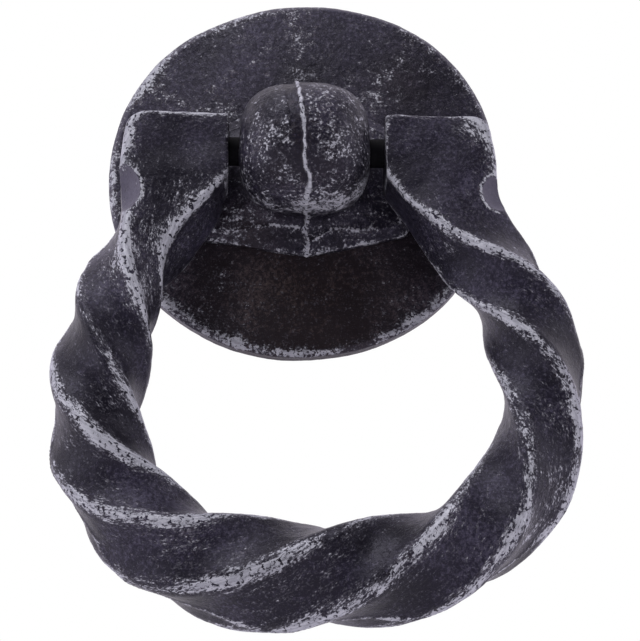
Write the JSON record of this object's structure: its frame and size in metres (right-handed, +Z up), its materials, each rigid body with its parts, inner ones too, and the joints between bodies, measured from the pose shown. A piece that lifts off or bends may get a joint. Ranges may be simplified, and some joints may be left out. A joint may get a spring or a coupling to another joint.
{
  "type": "ring door knocker",
  "caption": "Round iron backplate with a domed boss that carries a heavy twisted square-bar ring on a pivot pin, held by a bolt through the door.",
  "frame": {"origin": "where the fixing bolt's axis meets the door face, at the centre of the backplate's back", "axes": "+Y points into the door along the fixing bolt, -Y is the front of the knocker, +Z is up, +X is to the right seen from the front"},
  "size_m": [0.1072, 0.0867, 0.1464],
  "materials": {
    "plate_iron": "black antiqued iron, silver-grey wear on edges and ridges, waxed",
    "boss_iron": "black antiqued iron, silver-grey wear on edges and ridges, waxed",
    "ring_iron": "black antiqued iron, silver-grey wear on edges and ridges, waxed",
    "pin_steel": "plain turned steel",
    "stud_zinc": "bright zinc plate",
    "washer_zinc": "bright zinc plate",
    "nut_zinc": "bright zinc plate"
  },
  "bodies": {
    "fixed": {"backplate": "plate_iron", "boss": "boss_iron", "pivot_pin": "pin_steel", "fixing_stud": "stud_zinc", "washer": "washer_zinc", "nut": "nut_zinc"},
    "ring": {"ring": "ring_iron"}
  },
  "joints": [
    {"name": "ring_swing", "type": "hinge", "parent": "fixed", "child": "ring", "pos_m": [0, -0.017, -0.0018], "axis": [-1, 0, 0], "range_deg": [-3.2, 183.2]}
  ]
}
